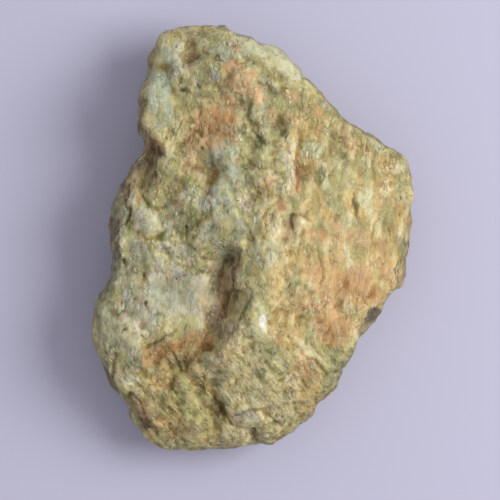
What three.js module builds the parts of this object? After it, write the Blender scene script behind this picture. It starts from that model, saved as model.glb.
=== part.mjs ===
// A hand-sized piece of raw green opal, lying flat on its flattest broken face.
//
// The stone is one solid. Its skin is a net of rings: the first ring is a single point in the
// middle of a face and the last one is the rim, which the upper and the lower face share.
// Units are millimetres, +Z is up, the long side runs along Y, and the origin is under the
// middle of the stone on the surface that it rests on.
import * as THREE from "three";
import { ImprovedNoise } from "three/addons/math/ImprovedNoise.js";
import { mergeVertices } from "three/addons/utils/BufferGeometryUtils.js";

// ---------------------------------------------------------------- the rim
// The broken edge, counter-clockwise from the right: across, along, and height over the table.
const RIM_POINTS = [
  // right side, upwards
  [31.3, -2.0, 7.2], [31.7, 3.0, 7.8], [32.1, 8.2, 9.2], [31.4, 13.0, 10.8],
  [30.4, 16.6, 11.4], [28.0, 18.4, 10.6], [24.9, 20.2, 9.0], [21.2, 22.0, 8.2],
  [18.1, 24.0, 8.8], [16.7, 25.8, 10.2], [13.2, 29.6, 12.0], [10.2, 32.8, 13.0],
  [7.4, 36.3, 12.4], [5.2, 38.7, 11.0], [1.8, 39.7, 9.8], [-1.9, 41.0, 9.0],
  // top, then down the left side
  [-5.2, 42.3, 9.4], [-9.0, 42.8, 10.6], [-14.0, 42.2, 12.0], [-18.3, 40.8, 12.4],
  [-19.6, 37.5, 11.2], [-20.6, 34.0, 9.8], [-22.2, 30.9, 10.4], [-22.95, 27.8, 12.2],
  [-22.4, 26.2, 12.8], [-22.9, 23.0, 11.8], [-22.1, 20.6, 10.2], [-21.3, 18.9, 9.4],
  [-22.7, 15.8, 8.8], [-24.1, 12.5, 9.6], [-25.6, 10.5, 11.0], [-27.0, 6.8, 11.8],
  // left side and the round lower left corner
  [-28.3, 3.0, 11.2], [-28.75, -0.9, 9.6], [-27.9, -3.3, 8.4], [-28.3, -7.8, 8.8],
  [-29.6, -10.6, 10.2], [-31.3, -14.3, 11.6], [-32.1, -18.4, 12.0], [-31.5, -22.4, 11.0],
  [-29.5, -27.0, 9.4], [-27.3, -31.1, 8.2], [-24.7, -34.8, 7.8], [-22.4, -38.7, 8.6],
  [-20.4, -41.4, 9.6], [-16.6, -42.6, 9.2], [-11.0, -43.1, 8.0], [-5.2, -42.6, 7.2],
  // foot and the nicked lower right edge
  [-1.1, -42.5, 7.0], [0.9, -41.3, 7.6], [4.2, -41.7, 8.4], [7.9, -39.5, 7.8],
  [10.4, -37.3, 6.8], [12.8, -36.2, 6.4], [13.5, -33.6, 7.2], [15.4, -31.8, 8.6],
  [17.9, -27.9, 9.2], [19.4, -24.6, 8.4], [20.9, -20.2, 7.2], [23.7, -18.2, 6.8],
  [26.4, -14.4, 7.6], [27.9, -10.9, 8.4], [30.9, -9.2, 8.2], [31.5, -6.4, 7.4],
];
const MIDDLE = [-1.0, -1.5]; // where the rings start, near the middle of the outline
const RINGS = 32; // rings between the middle and the rim, and vertices in a quarter of the rim
const SHOULDER_RINGS = 7; // the outermost rings, which turn down over the shoulder
const SHOULDER_LEFT = 3.0; // width of the rounded shoulder along the thick left side
const SHOULDER_RIGHT = 2.0; // and along the thin right side
const UNDERCUT = 2.4; // how much wider the shoulder of the lower side is
const NICK_LENGTH = 0.012; // share of the rim over which its nicks are smoothed off the shoulders
const WEB_PULLS = 50; // how often the net is evened out like a stretched web
const WEATHERINGS = 1; // how often the sharpest edges are worn down

// ---------------------------------------------------------------- the big faces
// Each face is a plane: a height where it passes over the origin, and its rise per millimetre
// along X and along Y. The upper side follows the lowest of its planes.
const UPPER_PLANES = [
  { name: "broad right face", height: 21.9, slopeX: -0.27, slopeY: 0.03 },
  { name: "left face", height: 20.9, slopeX: 0.13, slopeY: 0.03 },
  { name: "pale upper right face", height: 33.5, slopeX: -0.42, slopeY: -0.42 },
  { name: "top end face", height: 34.5, slopeX: 0.05, slopeY: -0.46 },
  { name: "foot face", height: 31.5, slopeX: -0.03, slopeY: 0.46 },
];
const LOWER_PLANES = [
  { name: "belly", height: -1.3, slopeX: 0.012, slopeY: -0.02 },
  { name: "under the right side", height: -4.6, slopeX: 0.36, slopeY: 0.05 },
  { name: "under the left side", height: -5.2, slopeX: -0.37, slopeY: -0.04 },
  { name: "under the top end", height: -6.4, slopeX: -0.08, slopeY: 0.34 },
  { name: "under the foot", height: -6.6, slopeX: 0.06, slopeY: -0.33 },
];
const FACE_BLEND = 1.6; // how far two planes melt into each other
const TABLE = 0; // the flat broken face that the stone rests on

// ---------------------------------------------------------------- relief of the upper side
// A scarp drops to the left of its line as the line is walked. wall is how wide the steep part
// is, reach how soon the low ground rises again, and ends how far the drop takes to fade in.
const SCARPS = [
  {
    name: "wall of the big hollow",
    drop: 6.8, wall: 3.4, reach: 10, ends: 6.5,
    line: [[-8.0, -27.5], [-5.4, -22.4], [-3.0, -18.1], [-1.6, -15.6], [-0.2, -12.6], [-1.0, -10.4],
      [-2.6, -8.8], [-2.5, -6.6], [-1.6, -3.9], [-2.2, -1.6], [-5.0, -0.6], [-9.0, -0.8]],
  },
  {
    name: "left wall of the right bulge",
    drop: 3.8, wall: 2.4, reach: 7, ends: 5,
    line: [[-1.8, -39.5], [-3.2, -35.4], [-4.4, -33.0], [-4.2, -31.4], [-5.6, -28.9], [-8.1, -26.2],
      [-11.2, -24.6]],
  },
  {
    name: "drop to the left neck",
    drop: 3.4, wall: 3.0, reach: 5, ends: 6,
    line: [[-19.8, 5.5], [-19.0, 10.0], [-17.6, 14.0], [-17.4, 17.6], [-19.6, 20.5], [-20.6, 24.5]],
  },
  {
    name: "rusty ledge under the whitish floor",
    drop: 2.2, wall: 1.6, reach: 11, ends: 4,
    line: [[-8.6, -18.2], [-12.0, -19.0], [-16.0, -19.6], [-19.0, -21.4], [-22.0, -23.0], [-24.6, -27.0],
      [-25.2, -31.0]],
  },
  {
    name: "brown shelf at the lower left",
    drop: 2.2, wall: 1.8, reach: 6, ends: 4,
    line: [[-17.0, -41.6], [-19.0, -39.0], [-20.4, -36.6], [-21.6, -34.4], [-23.4, -31.8], [-27.4, -29.6]],
  },
  {
    name: "edge of the pale flake",
    drop: 1.3, wall: 1.6, reach: 4, ends: 4,
    line: [[-14.0, 26.0], [-14.4, 31.0], [-13.8, 36.0], [-14.4, 41.0]],
  },
  {
    name: "sliver broken off the left side",
    drop: 2.4, wall: 1.5, reach: 6, ends: 2.5,
    line: [[-27.6, -5.0], [-27.0, -1.5], [-25.6, 2.1], [-24.8, 7.3], [-23.8, 12.0]],
  },
  {
    name: "step below the rusty patch",
    drop: 1.5, wall: 1.6, reach: 6, ends: 3,
    line: [[-3.4, 14.4], [-7.0, 15.4], [-9.4, 18.2], [-10.8, 22.4], [-13.6, 24.8]],
  },
];
// A groove is cut along its line, width across and depth down, and fades at both ends.
const GROOVES = [
  { name: "crevice in the rusty patch", depth: 1.1, width: 1.5, line: [[-10.4, 25.5], [-10.5, 20.0]] },
  { name: "groove below the patch", depth: 1.2, width: 1.6, line: [[-8.5, 17.0], [-7.4, 14.6], [-7.8, 10.4]] },
  { name: "groove right of the patch", depth: 1.3, width: 1.6,
    line: [[-0.5, 28.0], [-0.9, 24.0], [0.0, 21.0], [1.8, 18.0]] },
  { name: "brown pit", depth: 1.9, width: 1.6, line: [[5.2, 25.2], [5.7, 22.0], [5.9, 19.6]] },
  { name: "line beside the rib", depth: 0.8, width: 1.3, line: [[9.4, 22.5], [9.4, 15.0], [9.6, 7.4]] },
  { name: "crevice under the ledge", depth: 1.6, width: 1.4,
    line: [[-15.4, -22.6], [-14.1, -25.3], [-13.5, -28.0]] },
  { name: "notch in the foot", depth: 1.6, width: 1.5, line: [[0.2, -37.2], [0.3, -40.2], [1.5, -42.4]] },
  { name: "slanting crack", depth: 0.8, width: 1.3, line: [[10.0, -21.6], [13.0, -25.0], [15.2, -27.6]] },
];
// A swelling is a smooth rise, or a hollow where its height is negative.
const SWELLINGS = [
  { name: "crest over the hollow", at: [2.2, -6.0], across: 3.6, along: 10.5, turn: -6, height: 1.5 },
  { name: "pale rib", at: [7.3, 13.5], across: 1.8, along: 8.0, turn: 3, height: 1.2 },
  { name: "whitish floor", at: [-17.5, -8.5], across: 5.5, along: 6.0, turn: 10, height: -1.1 },
  { name: "white knob", at: [-20.8, 2.8], across: 2.2, along: 3.4, turn: -20, height: 1.5 },
  { name: "grey lump over the hollow", at: [-5.2, 3.6], across: 3.0, along: 2.6, turn: 0, height: 0.9 },
  { name: "rusty patch", at: [-7.8, 23.0], across: 3.4, along: 4.4, turn: 15, height: -0.9 },
  { name: "boss under the patch", at: [-14.2, 15.8], across: 3.4, along: 4.0, turn: -20, height: 1.1 },
  { name: "lower bulge", at: [-12.5, -34.0], across: 5.0, along: 6.0, turn: 30, height: 1.5 },
  { name: "right bulge", at: [3.6, -29.5], across: 7.5, along: 7.5, turn: 0, height: 1.5 },
  { name: "grey ledge", at: [2.0, -35.6], across: 5.0, along: 1.7, turn: -14, height: -0.9 },
  { name: "foot knob", at: [4.6, -39.2], across: 3.0, along: 2.0, turn: -15, height: 1.1 },
  { name: "dip in the right face", at: [20.0, 16.5], across: 6.5, along: 3.8, turn: -30, height: -1.2 },
  { name: "round right shoulder", at: [24.0, -3.0], across: 6.5, along: 9.0, turn: 0, height: 0.9 },
  { name: "dip below the shoulder", at: [15.5, -15.5], across: 6.0, along: 3.4, turn: 40, height: -0.9 },
  { name: "knob under the hollow", at: [-7.0, -24.2], across: 2.0, along: 1.9, turn: 0, height: 1.3 },
  { name: "lump on the top end", at: [-8.5, 35.0], across: 3.2, along: 4.6, turn: 0, height: 0.9 },
  { name: "green grey lump", at: [2.6, 23.4], across: 2.0, along: 3.4, turn: 0, height: 1.0 },
  { name: "stuck crumb", at: [9.3, 2.8], across: 1.2, along: 1.6, turn: 20, height: 1.3 },
];

// ---------------------------------------------------------------- roughness
// Scallops are broken facets that meet in sharp crests: size across, and how much they bend
// and tilt.
const SCALLOPS = [
  { size: 11, bend: 0.2, tilt: 0.13, seed: 3 },
  { size: 6, bend: 0.16, tilt: 0.11, seed: 11 },
];
const LUMPS = { size: 7.0, height: 0.7, seed: 1.7 };
const UNDERSIDE_ROUGHNESS = 1.3; // the lower side was broken more coarsely
const RIM_ROUGHNESS = 0.15; // the rim keeps its own drawn line

const noise = new ImprovedNoise();
const { clamp, degToRad, lerp, smoothstep } = THREE.MathUtils;

// A repeatable number from -0.5 to 0.5 for a cell of the grid and a channel.
function cellNumber(i, j, k, channel) {
  const mixed = Math.sin(i * 127.1 + j * 311.7 + k * 74.7 + channel * 53.3) * 43758.5453;
  return mixed - Math.floor(mixed) - 0.5;
}

// Each cell of a grid holds one shallow bowl, tilted its own way, and the lowest bowl shows.
function scallopHeight({ size, bend, tilt, seed }, x, y, z) {
  const [homeX, homeY, homeZ] = [x, y, z].map((v) => Math.floor(v / size));
  let lowest = Infinity;
  for (let i = homeX - 1; i <= homeX + 1; i++)
    for (let j = homeY - 1; j <= homeY + 1; j++)
      for (let k = homeZ - 1; k <= homeZ + 1; k++) {
        const number = (channel) => cellNumber(i, j, k, seed + channel);
        const dx = x / size - i - 0.5 - 0.8 * number(0);
        const dy = y / size - j - 0.5 - 0.8 * number(1);
        const dz = z / size - k - 0.5 - 0.8 * number(2);
        const bowl = bend * (dx * dx + dy * dy + dz * dz);
        const slant = 2 * tilt * (dx * number(3) + dy * number(4) + dz * number(5));
        lowest = Math.min(lowest, bowl + slant + tilt * number(6));
      }
  return size * lowest;
}

function roughness(x, y, z) {
  let height = 0;
  for (const layer of SCALLOPS) height += scallopHeight(layer, x, y, z);
  const { size, height: lump, seed } = LUMPS;
  return height + lump * noise.noise(x / size + seed, y / size + seed, z / size + seed);
}

// The lowest of several planes (sign 1) or the highest (sign -1), with soft corners.
function followPlanes(planes, x, y, sign) {
  let sum = 0;
  for (const { height, slopeX, slopeY } of planes)
    sum += Math.exp((-sign * (height + slopeX * x + slopeY * y)) / FACE_BLEND);
  return -sign * FACE_BLEND * Math.log(sum);
}

// Where a point lies beside a line: how far off, on which side (left is +1), and how much of
// the feature is left there, as it fades towards both ends of the line.
function beside(line, ends, x, y) {
  let best = { away: Infinity, side: 1 };
  const lengths = line.slice(1).map(([bx, by], i) => Math.hypot(bx - line[i][0], by - line[i][1]));
  const total = lengths.reduce((sum, length) => sum + length, 0);
  let walked = 0;
  let strengthSum = 0;
  let weightSum = 0;
  lengths.forEach((length, i) => {
    const [ax, ay] = line[i];
    const ux = (line[i + 1][0] - ax) / length;
    const uy = (line[i + 1][1] - ay) / length;
    const along = clamp((x - ax) * ux + (y - ay) * uy, 0, length);
    const away = Math.hypot(x - ax - ux * along, y - ay - uy * along);
    if (away < best.away) best = { away, side: Math.sign(ux * (y - ay) - uy * (x - ax)) };
    const fromEnd = Math.min(walked + along, total - walked - along);
    const weight = 1 / (away ** 4 + 1e-3);
    strengthSum += weight * smoothstep(fromEnd, 0, ends);
    weightSum += weight;
    walked += length;
  });
  return { ...best, strength: strengthSum / weightSum };
}

function scarpHeight({ drop, wall, reach, ends, line }, x, y) {
  const { away, side, strength } = beside(line, ends, x, y);
  if (side < 0) return 0;
  const recovery = Math.exp(-Math.max(away - wall, 0) / reach);
  return -drop * strength * smoothstep(away, 0, wall) * recovery;
}

function grooveHeight({ depth, width, line }, x, y) {
  const { away, strength } = beside(line, width, x, y);
  return -depth * strength * Math.exp(-((away / width) ** 2));
}

function swellingHeight({ at, across, along, turn, height }, x, y) {
  const angle = degToRad(turn);
  const dx = x - at[0];
  const dy = y - at[1];
  const u = (dx * Math.cos(angle) + dy * Math.sin(angle)) / across;
  const v = (dy * Math.cos(angle) - dx * Math.sin(angle)) / along;
  return height * Math.exp(-(u * u + v * v));
}

function upperHeight(x, y) {
  let height = followPlanes(UPPER_PLANES, x, y, 1);
  for (const scarp of SCARPS) height += scarpHeight(scarp, x, y);
  for (const groove of GROOVES) height += grooveHeight(groove, x, y);
  for (const swelling of SWELLINGS) height += swellingHeight(swelling, x, y);
  return height;
}

const lowerHeight = (x, y) => followPlanes(LOWER_PLANES, x, y, -1);

// The rim, and the line that the shoulder of the upper or the lower side starts from, at a
// share of the way round. The nicks of the rim fade out on the shoulders.
const rimCurve = new THREE.CatmullRomCurve3(
  RIM_POINTS.map((point) => new THREE.Vector3(...point)), true, "catmullrom", 0.4);

function rimAt(share, upper) {
  const along = (step) => rimCurve.getPointAt((share + step * NICK_LENGTH + 1) % 1);
  const edge = along(0);
  const [before, after] = [along(-1), along(1)];
  const inward = new THREE.Vector2(before.y - after.y, after.x - before.x).normalize();
  const width = lerp(SHOULDER_LEFT, SHOULDER_RIGHT, smoothstep(-inward.x, -0.7, 0.7));
  const shoulder = new THREE.Vector2();
  for (const point of [along(-2), before, edge, after, along(2)])
    shoulder.add(new THREE.Vector2(point.x, point.y).divideScalar(5));
  shoulder.addScaledVector(inward, upper ? width : width * UNDERCUT);
  return { edge, shoulder };
}

// A ball of eight triangles, each cut into RINGS rows, whose equator becomes the rim.
function ballNet() {
  const ball = new THREE.OctahedronGeometry(1, RINGS - 1);
  ball.deleteAttribute("normal");
  ball.deleteAttribute("uv");
  return mergeVertices(ball, 1e-5);
}

// The ring and the share of the way round of each vertex, and whether it is on the upper side.
function readNet(net) {
  const position = net.getAttribute("position");
  return Array.from({ length: position.count }, (_, i) => {
    const p = new THREE.Vector3().fromBufferAttribute(position, i);
    p.divideScalar(Math.abs(p.x) + Math.abs(p.y) + Math.abs(p.z));
    const reach = Math.abs(p.x) + Math.abs(p.y);
    const quarter = Math.max(reach, 1e-9) * 4;
    let share = 0.75 + p.x / quarter;
    if (p.x > 0 && p.y >= 0) share = p.y / quarter;
    else if (p.x <= 0 && p.y > 0) share = 0.25 - p.x / quarter;
    else if (p.x < 0) share = 0.5 - p.y / quarter;
    return { ring: Math.round(reach * RINGS), share: share % 1, upper: p.z > 0 };
  });
}

function neighbours(net, count) {
  const sets = Array.from({ length: count }, () => new Set());
  const index = net.getIndex();
  for (let i = 0; i < index.count; i += 3) {
    const corners = [index.getX(i), index.getX(i + 1), index.getX(i + 2)];
    for (const a of corners) for (const b of corners) if (a !== b) sets[a].add(b);
  }
  return sets.map((set) => [...set]);
}

// Spreads the vertices inside the shoulder line evenly, each pulled to the middle of those
// around it, so that the net follows the waisted outline.
function spreadNet(vertices, around) {
  const inner = RINGS - SHOULDER_RINGS;
  for (const vertex of vertices) {
    const { shoulder } = rimAt(vertex.share, vertex.upper);
    const inward = Math.min(vertex.ring / inner, 1);
    vertex.x = lerp(MIDDLE[0], shoulder.x, inward);
    vertex.y = lerp(MIDDLE[1], shoulder.y, inward);
  }
  for (let pull = 0; pull < WEB_PULLS; pull++)
    vertices.forEach((vertex, i) => {
      if (vertex.ring >= inner) return;
      const near = around[i];
      vertex.x = near.reduce((sum, n) => sum + vertices[n].x, 0) / near.length;
      vertex.y = near.reduce((sum, n) => sum + vertices[n].y, 0) / near.length;
    });
}

// Moves every vertex half way to the mean height of those around it.
function wearDown(position, around) {
  const worn = around.map((near, i) => {
    const mean = near.reduce((sum, n) => sum + position.getZ(n), 0) / near.length;
    return (position.getZ(i) + mean) / 2;
  });
  worn.forEach((height, i) => position.setZ(i, height));
}

function stoneGeometry() {
  const net = ballNet();
  const vertices = readNet(net);
  const around = neighbours(net, vertices.length);
  spreadNet(vertices, around);

  const position = net.getAttribute("position");
  vertices.forEach(({ ring, share, upper, x, y }, i) => {
    const { edge, shoulder } = rimAt(share, upper);
    const over = Math.max(ring - RINGS + SHOULDER_RINGS, 0) / SHOULDER_RINGS;
    const turn = (over * Math.PI) / 2;
    const px = over > 0 ? lerp(shoulder.x, edge.x, Math.sin(turn)) : x;
    const py = over > 0 ? lerp(shoulder.y, edge.y, Math.sin(turn)) : y;
    const face = upper ? upperHeight(px, py) : lowerHeight(px, py);
    position.setXYZ(i, px, py, lerp(edge.z, face, Math.cos(turn)));
  });

  for (let round = 0; round < WEATHERINGS; round++) wearDown(position, around);

  // The roughness pushes every vertex along the normal of the smooth form.
  net.computeVertexNormals();
  const normal = net.getAttribute("normal");
  vertices.forEach(({ ring, upper }, i) => {
    const p = new THREE.Vector3().fromBufferAttribute(position, i);
    const toRim = smoothstep(ring, RINGS - SHOULDER_RINGS, RINGS);
    const strength = lerp(upper ? 1 : UNDERSIDE_ROUGHNESS, RIM_ROUGHNESS, toRim);
    const push = strength * roughness(p.x, p.y, p.z);
    p.addScaledVector(new THREE.Vector3().fromBufferAttribute(normal, i), push);
    position.setXYZ(i, p.x, p.y, Math.max(p.z, TABLE));
  });

  // The roughness moved the outline a little, so it is centred again over the origin.
  net.computeBoundingBox();
  const centre = net.boundingBox.getCenter(new THREE.Vector3());
  return net.translate(-centre.x, -centre.y, 0);
}

const opal = new THREE.MeshStandardMaterial({ color: 0xa29a70, roughness: 0.72, metalness: 0 });
const stone = new THREE.Mesh(stoneGeometry(), opal);
stone.name = "green_opal_stone";

const part = new THREE.Group();
part.add(stone);

export default part;
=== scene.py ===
import math

import bpy
import numpy as np
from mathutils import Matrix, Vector


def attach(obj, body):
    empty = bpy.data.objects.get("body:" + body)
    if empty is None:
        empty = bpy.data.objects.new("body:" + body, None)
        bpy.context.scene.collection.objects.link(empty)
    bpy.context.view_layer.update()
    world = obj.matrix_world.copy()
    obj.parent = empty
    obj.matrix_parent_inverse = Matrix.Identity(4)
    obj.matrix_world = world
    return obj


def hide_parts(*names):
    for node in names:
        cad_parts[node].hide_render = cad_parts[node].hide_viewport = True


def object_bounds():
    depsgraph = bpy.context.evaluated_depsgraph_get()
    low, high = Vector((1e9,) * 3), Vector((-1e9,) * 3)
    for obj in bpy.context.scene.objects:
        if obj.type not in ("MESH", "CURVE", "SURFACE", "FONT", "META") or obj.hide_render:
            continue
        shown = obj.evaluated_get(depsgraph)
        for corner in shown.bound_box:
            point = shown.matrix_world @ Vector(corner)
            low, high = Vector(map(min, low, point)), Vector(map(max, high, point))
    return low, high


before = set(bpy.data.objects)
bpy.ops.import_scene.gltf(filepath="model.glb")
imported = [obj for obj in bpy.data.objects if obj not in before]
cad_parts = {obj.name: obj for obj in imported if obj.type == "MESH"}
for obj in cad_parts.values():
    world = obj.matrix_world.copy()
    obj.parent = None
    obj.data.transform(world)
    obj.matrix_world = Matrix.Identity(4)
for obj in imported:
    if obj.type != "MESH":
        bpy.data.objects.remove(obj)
cad_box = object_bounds()


# ------------------------------------------------------------------ the rough block
# One natural piece of common opal, knocked out of its vein by hammer and never cut or tumbled.
# The block is the stone's own solid, with its corners rounded as broken opal weathers, and
# divided finely enough to carry the broken surface.
MM = 0.001
DIVISIONS = 2

block = bpy.data.objects.new("block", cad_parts["green_opal_stone"].data.copy())
bpy.context.scene.collection.objects.link(block)
bpy.context.view_layer.objects.active = block
block.modifiers.new("weld", "WELD").merge_threshold = 0.01 * MM
rounding = block.modifiers.new("rounding", "SUBSURF")
rounding.levels = DIVISIONS
rounding.render_levels = DIVISIONS
block_shape = block.evaluated_get(bpy.context.evaluated_depsgraph_get())
opal = bpy.data.objects.new("raw_green_opal", bpy.data.meshes.new_from_object(block_shape))
bpy.data.objects.remove(block)
bpy.context.scene.collection.objects.link(opal)
opal.data.materials.clear()
opal.data.shade_smooth()


def read_mesh(piece):
    """The places of a piece's vertices in millimetres, and which way the surface faces there."""
    places = np.empty(len(piece.data.vertices) * 3)
    facing = np.empty(len(piece.data.vertices) * 3)
    piece.data.vertices.foreach_get("co", places)
    piece.data.vertex_normals.foreach_get("vector", facing)
    return places.reshape(-1, 3) / MM, facing.reshape(-1, 3)


places, facing = read_mesh(opal)


# ------------------------------------------------------------------ the broken surface
# Opal has no grain to split along, so it breaks in shallow scallops that meet in sharp crests.
# This piece is rough opal with clay and iron in it, so the break is also knobbly and pitted,
# and comes off in thin ledges where the vein was drawn out.
def ease_between(value, low, high):
    """0 below low, 1 above high, and a smooth rise between them."""
    share = np.clip((value - low) / (high - low), 0, 1)
    return share * share * (3 - 2 * share)


def cell_number(cell, channel):
    """A repeatable number from 0 to 1 for each cell of a grid, mixed with large odd numbers."""
    mixed = cell[..., 0] * 73856093 ^ cell[..., 1] * 19349663 ^ cell[..., 2] * 83492791
    mixed = (mixed ^ (channel + 1) * 40503001) & 0xFFFFFFFF
    mixed = (mixed ^ (mixed >> 15)) * 2246822519 & 0xFFFFFFFF
    mixed = (mixed ^ (mixed >> 13)) * 3266489917 & 0xFFFFFFFF
    return ((mixed ^ (mixed >> 16)) & 0xFFFFFF) / 0xFFFFFF


SEED_SHIFT = 7.31  # cells between the grids of two seeds, so that they never line up
LUMP_GAIN = 3.6  # brings the lumps up to about 1


def lumps(at, size, seed):
    """Smooth lumps and hollows from about -1 to 1, size millimetres apart."""
    spot = at / size + SEED_SHIFT * seed
    low = np.floor(spot).astype(np.int64)
    part = spot - low
    ease = part**3 * (part * (part * 6 - 15) + 10)
    total = np.zeros(len(at))
    for corner in np.ndindex(2, 2, 2):
        slopes = [cell_number(low + corner, 3 * seed + axis) - 0.5 for axis in range(3)]
        weight = np.prod(np.where(corner, ease, 1 - ease), axis=1)
        total += weight * (np.stack(slopes, 1) * (part - corner)).sum(1)
    return LUMP_GAIN * total


def lumps_each_way(at, size, seeds):
    """A push along X, Y and Z at each point, each way with lumps of its own."""
    return np.stack([lumps(at, size, seed) for seed in seeds], 1)


BOWL = 0.2  # how steeply a scallop rises from its middle
STRAY = 0.8  # how far its middle may stray over its cell


def scallops(at, size, tilt, seed):
    """Shallow bowls, each tilted its own way, that meet in sharp crests: heights in millimetres."""
    spot = at / size
    home = np.floor(spot).astype(np.int64)
    lowest = np.full(len(at), np.inf)
    for step in np.ndindex(3, 3, 3):
        cell = home + step - 1
        number = [cell_number(cell, 10 * seed + channel) - 0.5 for channel in range(7)]
        away = spot - cell - 0.5 - STRAY * np.stack(number[:3], 1)
        bowl = BOWL * (away**2).sum(1) + tilt * number[6]
        slant = 2 * tilt * (away * np.stack(number[3:6], 1)).sum(1)
        lowest = np.minimum(lowest, bowl + slant)
    return size * (lowest - lowest.mean())


def folds(at, size, seed):
    """Sharp crests that wander between soft hollows, from about -1 to 1."""
    return 1 - 4 * np.abs(lumps(at, size, seed))


WINDINGS = [(7, 2.6), (2.8, 0.8), (1.1, 0.25)]  # how wide and how deep the front of a ledge winds
FRONT = 0.16  # share of a ledge that its sharp front takes
LEDGE_LENGTH = 5.5


def ledges(at, heading, spacing, seed):
    """Thin layers that stand one behind another, each with a sharp front edge that dies out."""
    turn = math.radians(heading)
    run = at[:, 0] * math.cos(turn) + at[:, 1] * math.sin(turn)
    for number, (width, depth) in enumerate(WINDINGS):
        run = run + depth * lumps(at, width, seed + number)
    part = (run / spacing) % 1
    step = np.where(part < 1 - FRONT, part / (1 - FRONT), (1 - part) / FRONT)
    return (step - 0.5) * ease_between(lumps(at, LEDGE_LENGTH, seed + len(WINDINGS)), -0.5, 0.5)


def drawn_out_places(lean, ratio):
    """The places, squeezed along a heading so that what is drawn in them comes out long."""
    lean = math.radians(lean)
    across = places[:, 0] * math.cos(lean) + places[:, 1] * math.sin(lean)
    along = places[:, 1] * math.cos(lean) - places[:, 0] * math.sin(lean)
    return np.stack([across, along / ratio, places[:, 2]], 1)


def beside(at, line):
    """How far each point lies from a line drawn on the upper side, in plan."""
    away = np.full(len(at), np.inf)
    for start, end in zip(line, line[1:]):
        start, run = np.array(start), np.subtract(end, start)
        along = np.clip((at[:, :2] - start) @ run / (run @ run), 0, 1)
        away = np.minimum(away, np.linalg.norm(at[:, :2] - start - along[:, None] * run, axis=1))
    return away


def inside(at, ovals, edge=0.5):
    """How far each point lies inside a union of ovals: x, y, half width, half height, turn."""
    most = np.zeros(len(at))
    for x, y, across, along, turn in ovals:
        angle = math.radians(turn)
        dx, dy = at[:, 0] - x, at[:, 1] - y
        u = (dx * math.cos(angle) + dy * math.sin(angle)) / across
        v = (dy * math.cos(angle) - dx * math.sin(angle)) / along
        most = np.maximum(most, 1 - ease_between(np.hypot(u, v), 1 - edge, 1 + edge))
    return most


# The upper side faces up and is clear of the table. What is drawn on it wanders by a millimetre.
upper = ease_between(facing[:, 2], -0.1, 0.5) * ease_between(places[:, 2], 5, 9)
WANDER = 0.8
wander = lumps_each_way(places, 3.6, (1, 2, 3)) + 0.45 * lumps_each_way(places, 1.5, (4, 5, 6))
drawn = places + WANDER * wander

# The middle is knobbly, the foot and the rusty patch are rugged, and both they and the right
# bulge are crinkled. The floor of the hollow, the right side and one pale facet are calmer.
KNOBBLY = [(-8, 8, 12, 9, 0), (0, 20, 8, 9, 0), (-14, 30, 12, 14, 0), (4, -8, 4, 8, 0)]
RUGGED = [(-13, -33, 11, 10, 0), (3, -36, 8, 4, 10)]
CRINKLED = [(1, -30, 18, 11, 0), (-14, -32, 11, 9, 0)]
CALM = [
    (-18.2, 28, 3.2, 6, 12), (-15, -12, 9, 8, 0), (-6, -9, 3.2, 8.5, 6), (19, 2, 12, 14, 0),
    (7, -26, 11, 8, 0), (5, 36, 6, 3, -38),
]
knobbly = np.maximum(inside(drawn, KNOBBLY), 1 - upper)
rugged = inside(drawn, RUGGED) * upper
crinkled = inside(drawn, CRINKLED) * upper
calm = inside(drawn, CALM, 0.4) * upper

# The scallops of the break, coarse to fine: how wide and how tilted they are, how far they are
# bent out of shape, and how far they stand out everywhere, where knobbly and where rugged. The
# widest are bowls, and the others, with a minus, are bosses.
SCALLOPS = [
    (5.0, 0.14, 0.6, 0.8, 0.0, 0.0),
    (4.3, 0.12, 0.6, -0.3, -0.8, -0.3),
    (2.2, 0.13, 0.4, -0.22, -0.35, -0.5),
    (1.2, 0.14, 0.2, -0.16, -0.15, -0.4),
]
height = np.zeros(len(places))
for seed, (size, tilt, bent, everywhere, where_knobbly, where_rugged) in enumerate(SCALLOPS, 1):
    depth = everywhere + where_knobbly * knobbly + where_rugged * rugged
    height += depth * scallops(places + bent * wander, size, tilt, seed)
LUMP_HEIGHT = 0.14
FINE_LUMP_HEIGHT = 0.08
height += LUMP_HEIGHT * lumps(places, 1.9, 11) + FINE_LUMP_HEIGHT * lumps(places, 0.9, 12)
CALM_SHARE = 0.55
height *= 1 - CALM_SHARE * calm

# The right side, from the ridge outwards and down to the bulge, is drawn out in streaks along
# the vein. The rest comes off in ledges that face the other way, and the foot in wavy folds.
VEIN_LEAN = -14
STREAK_HEIGHT = 0.12
RIDGE_X = (-1, 8)
BULGE_Y = (-26, -18)
streaky = ease_between(drawn[:, 0], *RIDGE_X) * ease_between(drawn[:, 1], *BULGE_Y) * upper
plain = (1 - streaky) * (1 - calm) * (1 - 0.7 * rugged)
height += STREAK_HEIGHT * streaky * lumps(drawn_out_places(VEIN_LEAN, 6), 1.0, 21)

# Where ledges stand, how high they are, which way they head in degrees, and how far apart.
LEDGES = [
    (streaky, 0.3, VEIN_LEAN, 4.8),
    (plain, 0.4, 205, 5.2),
    (crinkled, 0.22, 60, 2.6),
]
for number, (spread, rise, heading, spacing) in enumerate(LEDGES):
    height += rise * spread * ledges(places, heading, spacing, 40 + 10 * number)

# How wide the folds are, and how high they are everywhere, where crinkled and where rugged.
FOLDS = [
    (2.0, 0.02, 0.04, 0.06),
    (1.1, 0.01, 0.06, 0.0),
]
FOLD_LEAN = 24
folded = drawn_out_places(FOLD_LEAN, 2.6) + 0.5 * wander
for seed, (width, everywhere, where_crinkled, where_rugged) in enumerate(FOLDS, 13):
    rise = everywhere + where_crinkled * crinkled + where_rugged * rugged
    height += rise * folds(folded, width, seed)

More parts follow.
